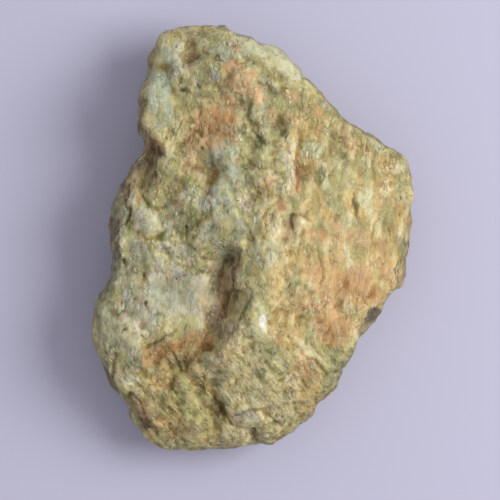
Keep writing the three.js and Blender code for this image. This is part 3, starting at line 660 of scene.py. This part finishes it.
# ------------------------------------------------------------------ broken common opal
# Common opal is hydrated silica with IOR near 1.45. Freshly broken it is waxy, but this skin
# is dusty and clayey, so it is dull, with only small glints where clean opal shows, and a few
# glints and one highlight painted on.
def linear(code):
    """An sRGB hex colour as the linear colour that a shader takes."""
    channels = [int(code[i : i + 2], 16) / 255 for i in (1, 3, 5)]
    return [c / 12.92 if c <= 0.04045 else ((c + 0.055) / 1.055) ** 2.4 for c in channels] + [1]


finish = bpy.data.materials.new("broken_common_opal")
finish.use_nodes = True
nodes = finish.node_tree.nodes
links = finish.node_tree.links
nodes.clear()


def add(kind, settings=None, inputs=None):
    """Adds a node with its settings, sets or links its inputs, and gives its outputs."""
    node = nodes.new(kind)
    for name, value in (settings or {}).items():
        setattr(node, name, value)
    for name, value in (inputs or {}).items():
        if isinstance(value, bpy.types.NodeSocket):
            links.new(value, node.inputs[name])
        else:
            node.inputs[name].default_value = value
    return node.outputs


# Settings that many of its nodes share.
TIMES = {"operation": "MULTIPLY"}
TIMES_PLUS = {"operation": "MULTIPLY_ADD"}
MINUS = {"operation": "SUBTRACT"}
EASED = {"interpolation_type": "SMOOTHSTEP"}
COLOURS = {"data_type": "RGBA"}

where = add("ShaderNodeTexCoord")["Object"]
in_mm = add("ShaderNodeVectorMath", {"operation": "SCALE"}, {0: where, "Scale": 1 / MM})[0]

# The vein was drawn out and bent as it set, so its mottling is longer than wide, and winds. It
# is drawn out along the stone, but at a slant in the foot.
DRAWN_OUT = 2.2
BEND = 4
BEND_LENGTH = 14
FOOT_Y = -20
FOOT_SLANT = 0.6
bends = add("ShaderNodeTexNoise", None, {"Vector": in_mm, "Scale": 1 / BEND_LENGTH, "Detail": 1})
bent = add("ShaderNodeVectorMath", TIMES_PLUS, {0: bends["Color"], 1: (BEND, BEND, BEND), 2: in_mm})[0]
axes = add("ShaderNodeSeparateXYZ", None, {0: bent})
past_foot = add("ShaderNodeMath", MINUS, {0: axes["Y"], 1: FOOT_Y})[0]
below = add("ShaderNodeMath", {"operation": "MINIMUM"}, {0: past_foot, 1: 0.0})[0]
drawn_out = add("ShaderNodeCombineXYZ", None, {
    "X": add("ShaderNodeMath", TIMES_PLUS, {0: below, 1: FOOT_SLANT, 2: axes["X"]})[0],
    "Y": add("ShaderNodeMath", {"operation": "DIVIDE"}, {0: axes["Y"], 1: DRAWN_OUT})[0],
    "Z": axes["Z"],
})[0]


def lay(over, under, value, none_at, full_at, strength, only=None, how="MIX"):
    """Lays a hex colour over the colour so far, the more the nearer a value is to full_at."""
    span = {"Value": value, "From Min": none_at, "From Max": full_at, "To Min": 0.0, "To Max": strength}
    share = add("ShaderNodeMapRange", EASED, span)[0]
    if only is not None:
        share = add("ShaderNodeMath", TIMES, {0: share, 1: only})[0]
    return add("ShaderNodeMix", COLOURS | {"blend_type": how}, {0: share, 6: under, 7: linear(over)})[2]


RAGGED = 2.2  # how far noise frays the edge of a patch
EDGE = (0.35, 0.9)  # where in its mark a mineral starts to show, and where it is all there


def mineral(name, under, light, dark, grain, strength):
    """Lays a mineral over the colour so far, in two shades and with a ragged edge."""
    noise = {"Vector": drawn_out, "Scale": 1 / grain, "Roughness": 0.5}
    jags = add("ShaderNodeTexNoise", None, noise | {"Detail": 4})["Fac"]
    jags = add("ShaderNodeMath", MINUS, {0: jags, 1: 0.5})[0]
    laid = add("ShaderNodeAttribute", {"attribute_name": name})["Fac"]
    laid = add("ShaderNodeMath", TIMES_PLUS, {0: jags, 1: RAGGED, 2: laid})[0]
    span = {"Value": laid, "From Min": EDGE[0], "From Max": EDGE[1], "To Min": 0.0, "To Max": strength}
    share = add("ShaderNodeMapRange", EASED, span)[0]
    blotches = add("ShaderNodeTexNoise", None, noise | {"Detail": 3})["Fac"]
    span = {"Value": blotches, "From Min": 0.35, "From Max": 0.65, "To Min": 0.15, "To Max": 0.85}
    lighter = add("ShaderNodeMapRange", EASED, span)[0]
    shades = add("ShaderNodeMix", COLOURS, {0: lighter, 6: linear(dark), 7: linear(light)})[2]
    return add("ShaderNodeMix", COLOURS, {0: share, 6: under, 7: shades})[2]


# The ground is clayey opal in blotches: their colour and width, and how finely broken up and
# how common they are.
GROUND = "#B3A660"
BLOTCHES = [
    ("#CBBD7E", 4.0, 3, 0.35, 0.65),
    ("#968E5A", 2.4, 4, 0.45, 0.64),
    ("#D6CA98", 1.8, 4, 0.5, 0.68),
]
colour = linear(GROUND)
for code, width, detail, none_at, full_at in BLOTCHES:
    noise = {"Vector": drawn_out, "Scale": 1 / width, "Detail": detail, "Roughness": 0.5}
    colour = lay(code, colour, add("ShaderNodeTexNoise", None, noise)["Fac"], none_at, full_at, 1.0)

# Then the minerals, the oldest first: the light and the dark shade of each, how wide its mottling
# is, and how far it hides what lies under it.
OPALS = [
    ("ochre", "#D8B974", "#BD9856", 2.2, 0.8),
    ("khaki", "#E3D7A0", "#C8BA80", 2.0, 0.8),
    ("green", "#B2B07A", "#868652", 1.6, 0.7),
    ("milky", "#E5E0C8", "#BCB898", 1.3, 0.8),
    ("aqua", "#B8C2A8", "#909B82", 1.3, 0.65),
    ("mint", "#BFCBAE", "#A2AF8E", 1.6, 0.85),
    ("pale_green", "#DADAAE", "#B9B985", 1.4, 0.75),
    ("dark_green", "#787A3E", "#55572C", 1.1, 0.75),
    ("peach", "#DEB07C", "#C48F58", 1.5, 0.75),
    ("grey_green", "#A8AA90", "#7F8266", 1.4, 0.7),
    ("clay", "#BAA486", "#987F64", 1.2, 0.7),
]
STAINS = [
    ("rust", "#D09E60", "#AA7844", 1.3, 0.75),
    ("brown", "#74583E", "#4C3A2A", 1.1, 0.8),
    ("red", "#C68C70", "#A6684E", 0.6, 0.55),
    ("cream", "#F2E4BA", "#D2BC84", 0.8, 0.85),
    ("lilac", "#B2ACB0", "#85808C", 0.5, 0.7),
    ("black", "#3A382E", "#2C2A22", 0.4, 0.85),
    ("olive", "#A89E5E", "#847A44", 1.5, 0.7),
    ("tan", "#D4B07C", "#AE8858", 1.4, 0.6),
    ("moss", "#D0C880", "#A69D58", 1.4, 0.65),
]
grain_height = add("ShaderNodeAttribute", {"attribute_name": "grain_height"})["Fac"]
lump_height = add("ShaderNodeAttribute", {"attribute_name": "lump_height"})["Fac"]
for name, *look in OPALS:
    colour = mineral(name, colour, *look)
# The crests of the grains are lightened: partly rubbed clean, partly a painted highlight.
colour = lay("#F0E4B4", colour, grain_height, 0.02, 0.12, 0.28)
for name, *look in STAINS:
    colour = mineral(name, colour, *look)

# Iron and clay tint it in small patches, and the opal between them is greener. Both are weaker
# where it is ochre already.
TINT_WIDTH = 1.8
tint = add("ShaderNodeTexNoise", None, {
    "Vector": in_mm,
    "Scale": 1 / TINT_WIDTH,
    "Detail": 3,
    "Roughness": 0.5,
})["Fac"]
ochre = add("ShaderNodeAttribute", {"attribute_name": "ochre"})["Fac"]
span = {"Value": ochre, "From Min": 0.2, "From Max": 0.8, "To Min": 1.0, "To Max": 0.4}
tinted = add("ShaderNodeMapRange", EASED, span)[0]
colour = lay("#CB9C6C", colour, tint, 0.52, 0.66, 0.22, tinted)
colour = lay("#A0AA6C", colour, tint, 0.48, 0.34, 0.22, tinted)

# It is broken into chips, grains and fine crystals, drawn out like the mottling and jostled out
# of line. The real crystals are finer, and are drawn wide enough to show.
CHIP = 1.2
GRAIN = 0.4
CRYSTAL = 0.3
JOSTLE = 0.9
JOSTLE_WIDTH = 0.8
jostle = add("ShaderNodeTexNoise", None, {"Vector": in_mm, "Scale": 1 / JOSTLE_WIDTH, "Detail": 3})
jostled = add("ShaderNodeVectorMath", TIMES_PLUS, {
    0: jostle["Color"],
    1: (JOSTLE, JOSTLE, JOSTLE),
    2: drawn_out,
})[0]
chips = add("ShaderNodeTexVoronoi", None, {"Vector": jostled, "Scale": 1 / CHIP})
grains = add("ShaderNodeTexVoronoi", None, {"Vector": jostled, "Scale": 1 / GRAIN})
crystals = add("ShaderNodeTexVoronoi", None, {"Vector": jostled, "Scale": 1 / CRYSTAL})
chip_tone = add("ShaderNodeSeparateColor", None, {0: chips["Color"]})[0]
grain_tones = add("ShaderNodeSeparateColor", None, {0: grains["Color"]})
crystal_tone = add("ShaderNodeSeparateColor", None, {0: crystals["Color"]})[0]

# Each of them has its own lightness, less so on the calm faces and in calm spots elsewhere.
SPOT_WIDTH = 2.8
calm_face = add("ShaderNodeAttribute", {"attribute_name": "calm"})["Fac"]
span = {"Value": calm_face, "From Min": 0.0, "From Max": 1.0, "To Min": 1.0, "To Max": 0.5}
rough_face = add("ShaderNodeMapRange", EASED, span)[0]
spots = add("ShaderNodeTexNoise", None, {
    "Vector": in_mm,
    "Scale": 1 / SPOT_WIDTH,
    "Detail": 3,
    "Roughness": 0.6,
})["Fac"]
span = {"Value": spots, "From Min": 0.38, "From Max": 0.64, "To Min": 0.3, "To Max": 1.5}
rough_spot = add("ShaderNodeMapRange", EASED, span)[0]
lively = add("ShaderNodeMath", TIMES, {0: rough_face, 1: rough_spot})[0]
grain_tint = grain_tones[0]
colour = lay("#F2ECD4", colour, grain_tint, 0.5, 1.0, 0.14, lively)
colour = lay("#5E5838", colour, grain_tint, 0.45, 0.0, 0.18, lively)
# The chips are lighter or darker at random, which also stands in for painted light and shade on their
# small flats.
colour = lay("#F0E4B2", colour, chip_tone, 0.5, 1.0, 0.08)
colour = lay("#665A28", colour, chip_tone, 0.5, 0.0, 0.07)

# The low ground between grains and between lumps, and the crevices, are darkened: partly dirt,
# partly painted shade where less light reaches. The steep sides are darkened as painted shade.
crevices = add("ShaderNodeAttribute", {"attribute_name": "crevice"})["Fac"]
side = add("ShaderNodeAttribute", {"attribute_name": "side"})["Fac"]
colour = lay("#B8A278", colour, grain_height, 0.0, -0.12, 0.6, how="MULTIPLY")
colour = lay("#B8A278", colour, lump_height, 0.0, -0.5, 0.4, how="MULTIPLY")
colour = lay("#4E4029", colour, crevices, 0.2, 1.0, 0.6)
# Painted shade on the steep sides, darker the more they turn from facing up.
colour = lay("#5C4F34", colour, side, 0.0, 1.0, 0.4)

# Hairline creases run over it in places, where a wide noise passes through its middle value.
# They are drawn wider than they are, to show, and darker as painted shade in the crease.
CREASE_SPACING = 2.6
CREASE_WIDTH = 0.018
CREASED_PATCH = 3.0
wide = add("ShaderNodeTexNoise", None, {
    "Vector": drawn_out,
    "Scale": 1 / CREASE_SPACING,
    "Detail": 2,
    "Roughness": 0.45,
})["Fac"]
off_middle = add("ShaderNodeMath", MINUS, {0: wide, 1: 0.5})[0]
off_middle = add("ShaderNodeMath", {"operation": "ABSOLUTE"}, {0: off_middle})[0]
span = {"Value": off_middle, "From Min": CREASE_WIDTH, "From Max": 0.0, "To Min": 0.0, "To Max": 1.0}
crease = add("ShaderNodeMapRange", EASED, span)[0]
patches = add("ShaderNodeTexNoise", None, {
    "Vector": in_mm,
    "Scale": 1 / CREASED_PATCH,
    "Detail": 3,
    "Roughness": 0.6,
})["Fac"]
span = {"Value": patches, "From Min": 0.5, "From Max": 0.6, "To Min": 0.0, "To Max": 1.0}
creased = add("ShaderNodeMapRange", EASED, span)[0]
creased = add("ShaderNodeMath", TIMES, {0: creased, 1: rough_face})[0]
crease = add("ShaderNodeMath", TIMES, {0: crease, 1: creased})[0]
faint = add("ShaderNodeMath", TIMES, {0: crease, 1: 0.5})[0]
colour = add("ShaderNodeMix", COLOURS, {0: faint, 6: colour, 7: linear("#4A4026")})[2]

# A few crystals are dark specks and a few are painted glints, and one glossy spot is painted
# near-white as a highlight.
colour = lay("#453B25", colour, crystal_tone, 0.03, 0.015, 0.35, lively)
colour = lay("#FBF3D2", colour, crystal_tone, 0.95, 0.98, 0.4, lively)
SMUDGE_WIDTH = 0.9
smudges = add("ShaderNodeTexNoise", None, {
    "Vector": in_mm,
    "Scale": 1 / SMUDGE_WIDTH,
    "Detail": 3,
    "Roughness": 0.6,
})["Fac"]
glossy_spot_and_highlight = add("ShaderNodeAttribute", {"attribute_name": "glossy_spot_and_highlight"})["Fac"]
glossy_spot_and_highlight = add("ShaderNodeMath", {"operation": "ADD"}, {0: glossy_spot_and_highlight, 1: smudges})[0]
span = {"Value": glossy_spot_and_highlight, "From Min": 0.6, "From Max": 1.6, "To Min": 0.0, "To Max": 0.85}
glossy_spot_and_highlight = add("ShaderNodeMapRange", EASED, span)[0]
colour = add("ShaderNodeMix", COLOURS, {0: glossy_spot_and_highlight, 6: colour, 7: linear("#F6F3E4")})[2]


# The break is grainy below half a millimetre, too fine for the mesh, so it is drawn as bumps: a
# crinkled skin, and chips and grains that each end in a small flat of their own.
def flats(cells):
    """The height of cells that are each a small flat, facing its own way."""
    away = add("ShaderNodeVectorMath", MINUS, {0: jostled, 1: cells["Position"]})[0]
    lean = add("ShaderNodeVectorMath", MINUS, {0: cells["Color"], 1: (0.5, 0.5, 0.5)})[0]
    return add("ShaderNodeVectorMath", {"operation": "DOT_PRODUCT"}, {0: away, 1: lean})["Value"]


BUMP_HEIGHT = 0.36
GRAINY = 0.5
CRINKLE = 1.0
GRAIN_FLATS = 2.4
CHIP_FLATS = 1.4
CRINKLE_DEPTH = 1.5
CREASE_DEPTH = 0.4
grainy = add("ShaderNodeTexNoise", None, {
    "Vector": jostled,
    "Scale": 1 / GRAINY,
    "Detail": 5,
    "Roughness": 0.7,
})["Fac"]
crinkles = add("ShaderNodeTexNoise", {"noise_type": "RIDGED_MULTIFRACTAL", "normalize": True}, {
    "Vector": jostled,
    "Scale": 1 / CRINKLE,
    "Detail": 5,
    "Roughness": 0.6,
})["Fac"]
crinkled_face = add("ShaderNodeAttribute", {"attribute_name": "crinkled"})["Fac"]
span = {"Value": crinkled_face, "From Min": 0.0, "From Max": 1.0, "To Min": 0.75, "To Max": 1.6}
coarse = add("ShaderNodeMapRange", EASED, span)[0]
relief = add("ShaderNodeMath", TIMES, {0: lively, 1: coarse})[0]
fine = add("ShaderNodeMath", TIMES_PLUS, {0: flats(grains), 1: GRAIN_FLATS, 2: grainy})[0]
fine = add("ShaderNodeMath", TIMES_PLUS, {0: flats(chips), 1: CHIP_FLATS, 2: fine})[0]
fine = add("ShaderNodeMath", TIMES_PLUS, {0: crinkles, 1: -CRINKLE_DEPTH, 2: fine})[0]
fine = add("ShaderNodeMath", TIMES, {0: fine, 1: relief})[0]
fine = add("ShaderNodeMath", TIMES_PLUS, {0: crease, 1: -CREASE_DEPTH, 2: fine})[0]
bump = add("ShaderNodeBump", None, {"Strength": 1.0, "Distance": BUMP_HEIGHT * MM, "Height": fine})[0]

# A dusty skin is rough, the grains that broke clean are waxy, and so is the glossy white spot.
OPAL_IOR = 1.45
span = {"Value": grain_tones[1], "From Min": 0.6, "From Max": 0.9, "To Min": 0.6, "To Max": 0.28}
waxy_grains = add("ShaderNodeMapRange", EASED, span)[0]
span = {"Value": glossy_spot_and_highlight, "From Min": 0.0, "From Max": 1.0, "To Min": 1.0, "To Max": 0.4}
waxy_spot = add("ShaderNodeMapRange", EASED, span)[0]
surface = add("ShaderNodeBsdfPrincipled", None, {
    "Base Color": colour,
    "Roughness": add("ShaderNodeMath", TIMES, {0: waxy_grains, 1: waxy_spot})[0],
    "IOR": OPAL_IOR,
    "Normal": bump,
})[0]
add("ShaderNodeOutputMaterial", None, {"Surface": surface})
opal.data.materials.append(finish)

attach(opal, "root")
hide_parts("green_opal_stone")


# ------------------------------------------------------------------ the studio table
# The stone lies loose on a sheet of matt lavender-grey card, which is larger than any view of
# it. Card has no gloss, so it takes a soft shadow and shows no reflection.
TABLE_SIZE = 3.0
table_mesh = bpy.data.meshes.new("table")
half = TABLE_SIZE / 2
corners = [(-half, -half, 0), (half, -half, 0), (half, half, 0), (-half, half, 0)]
table_mesh.from_pydata(corners, [], [(0, 1, 2, 3)])
table = bpy.data.objects.new("table", table_mesh)
bpy.context.scene.collection.objects.link(table)
card = bpy.data.materials.new("matt_card")
card.use_nodes = True
card.node_tree.nodes["Principled BSDF"].inputs["Base Color"].default_value = linear("#BEBCCE")
card.node_tree.nodes["Principled BSDF"].inputs["Roughness"].default_value = 0.95
table_mesh.materials.append(card)


# ------------------------------------------------------------------ the studio light
# One large soft box to the right of the stone, low enough to rake its relief, and the pale room
# round it as fill.
KEY_PLACE = Vector((0.50, 0.08, 0.44))
KEY_AIM = Vector((0, 0, 0.01))
KEY_SIZE = 0.4
KEY_WATTS = 4.05
ROOM_STRENGTH = 0.55
lamp = bpy.data.lights.new("key", "AREA")
lamp.size = KEY_SIZE
lamp.energy = KEY_WATTS
stand = bpy.data.objects.new("key", lamp)
stand.location = KEY_PLACE
stand.rotation_euler = (KEY_AIM - KEY_PLACE).to_track_quat("-Z", "Y").to_euler()
bpy.context.scene.collection.objects.link(stand)
room = bpy.data.worlds.new("room")
room.use_nodes = True
room.node_tree.nodes["Background"].inputs["Color"].default_value = linear("#F6F6FF")
room.node_tree.nodes["Background"].inputs["Strength"].default_value = ROOM_STRENGTH
bpy.context.scene.world = room
bpy.context.scene.view_settings.view_transform = "Standard"


# ------------------------------------------------------------------ the camera
# A long lens looks straight down on the broad face from half a metre up, with the narrow end
# at the top, so that nothing on the stone is foreshortened.
VIEW_WIDTH = 0.100
LENS = 200.0
SENSOR = 36.0
AIM = Vector((-0.0005, -0.0022, 0.012))
camera = bpy.data.cameras.new("camera")
camera.lens = LENS
camera.sensor_width = SENSOR
view = bpy.data.objects.new("camera", camera)
view.location = AIM + Vector((0, 0, VIEW_WIDTH * LENS / SENSOR))
bpy.context.scene.collection.objects.link(view)
bpy.context.scene.camera = view
